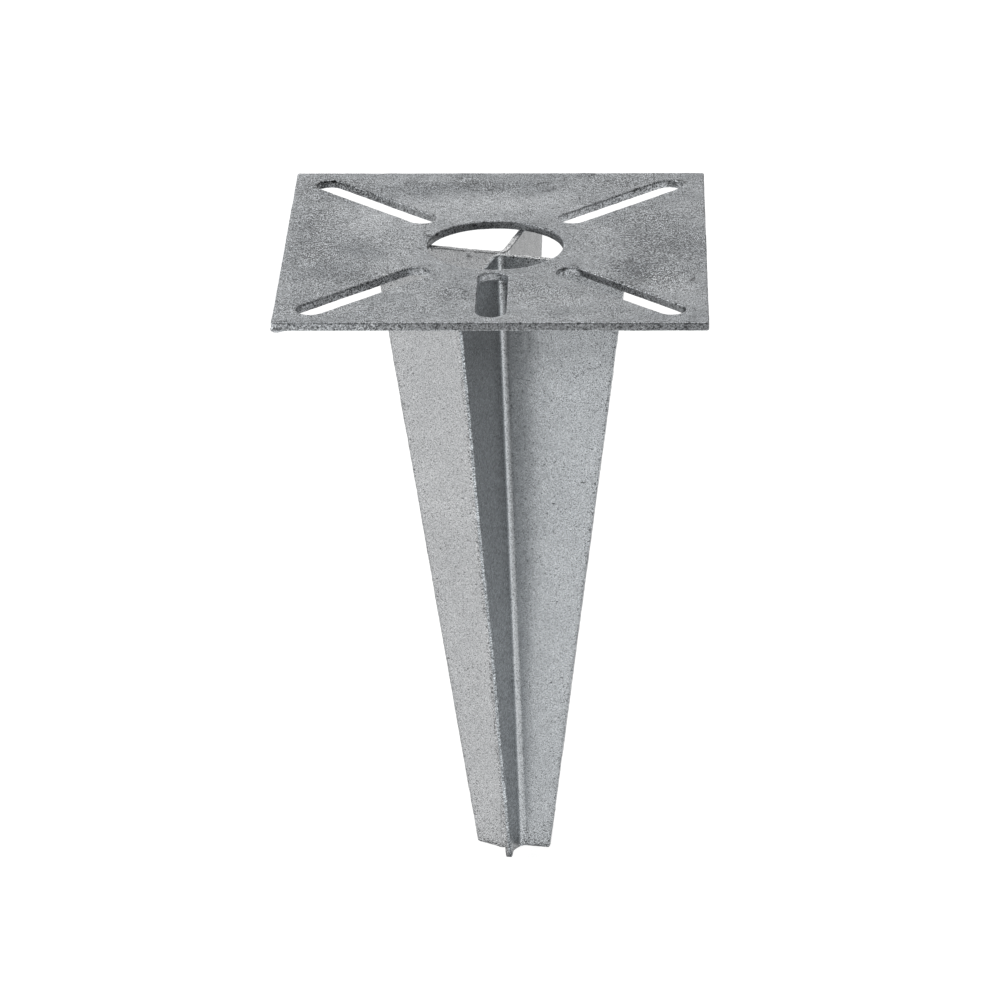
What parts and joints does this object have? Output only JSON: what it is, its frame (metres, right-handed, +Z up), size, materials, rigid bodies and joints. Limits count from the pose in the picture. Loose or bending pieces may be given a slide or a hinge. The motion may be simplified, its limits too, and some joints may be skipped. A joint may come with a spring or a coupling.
{
  "type": "ground spike",
  "caption": "Galvanised ground spike with a square slotted flange plate on a tapered cross-shaped blade, for bolting down a post, bollard or light.",
  "frame": {"origin": "centre of the round hole in the plate's top face", "axes": "+Z up, out of the plate's top face; the blades point down -Z; -Y is the side with the single slot; +X is right seen from that side"},
  "size_m": [0.155, 0.155, 0.2494],
  "materials": {
    "galvanised_steel": "hot-dip galvanised, dull and mottled",
    "galvanised_weld": "hot-dip galvanised over weld"
  },
  "bodies": {
    "root": {"top_plate": "galvanised_steel", "front_blade": "galvanised_steel", "rear_blade": "galvanised_steel", "right_fin_weld": "galvanised_weld", "front_fin_weld": "galvanised_weld", "left_fin_weld": "galvanised_weld", "back_fin_weld": "galvanised_weld", "left_seam_welds": "galvanised_weld", "right_seam_welds": "galvanised_weld"}
  },
  "joints": []
}
